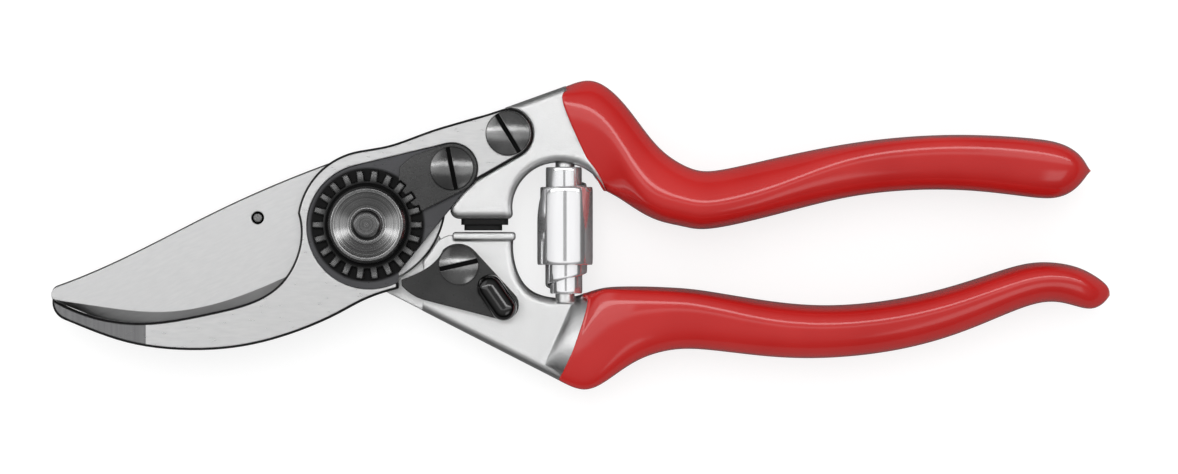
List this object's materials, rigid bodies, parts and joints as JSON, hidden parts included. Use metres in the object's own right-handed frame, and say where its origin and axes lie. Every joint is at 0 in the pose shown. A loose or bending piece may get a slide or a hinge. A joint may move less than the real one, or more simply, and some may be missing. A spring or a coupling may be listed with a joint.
{
  "type": "pruning shears",
  "caption": "Bypass pruning shears with a hooked counter blade, forged handles in dipped grips, volute spring, toothed adjusting nut and thumb catch, closed and locked.",
  "frame": {"origin": "on the pivot's axis, at the flat rear face of the pivot bolt's head, which is also the plane that the tool lies on", "axes": "+Z along the pivot towards the front with the nut, +X towards the handles' ends, +Y towards the handle that carries the counter blade"},
  "size_m": [0.2095, 0.0616, 0.016],
  "materials": {
    "dipped_plastic": "glossy",
    "forged_aluminium": "satin",
    "blade_steel": "brushed",
    "blackened_steel": "satin",
    "spring_steel": "satin",
    "plated_ribbon": "polished",
    "bronze": "satin",
    "buffer_rubber": "matte"
  },
  "bodies": {
    "upper": {"upper_handle": "forged_aluminium", "upper_grip": "dipped_plastic", "counter_blade": "blade_steel", "arm_screw": "blackened_steel", "toothed_nut": "blackened_steel", "toothed_segment": "blackened_steel", "segment_screw": "blackened_steel", "pivot_bolt": "blackened_steel", "pivot_washer": "spring_steel", "buffer_seat": "buffer_rubber", "buffer": "buffer_rubber", "volute_spring": "plated_ribbon"},
    "lower": {"lower_handle": "forged_aluminium", "lower_grip": "dipped_plastic", "cutting_blade": "blade_steel", "blade_pin": "blackened_steel", "blade_rivets": "spring_steel", "pivot_bush": "bronze", "catch_screw": "blackened_steel", "catch_washer": "spring_steel"},
    "catch": {"thumb_catch": "blackened_steel"}
  },
  "joints": [
    {"name": "main_pivot", "type": "hinge", "parent": "upper", "child": "lower", "pos_m": [0, 0, 0.0056], "axis": [0, 0, -1], "range_deg": [0, 28], "deforming": ["volute_spring"]},
    {"name": "catch_pivot", "type": "hinge", "parent": "lower", "child": "catch", "pos_m": [0.018, -0.0079, 0.0106], "axis": [0, 0, 1], "range_deg": [0, 42]}
  ],
  "couplings": [
    {"joint": "catch_pivot", "follows": "main_pivot", "ratio": 1.5}
  ]
}
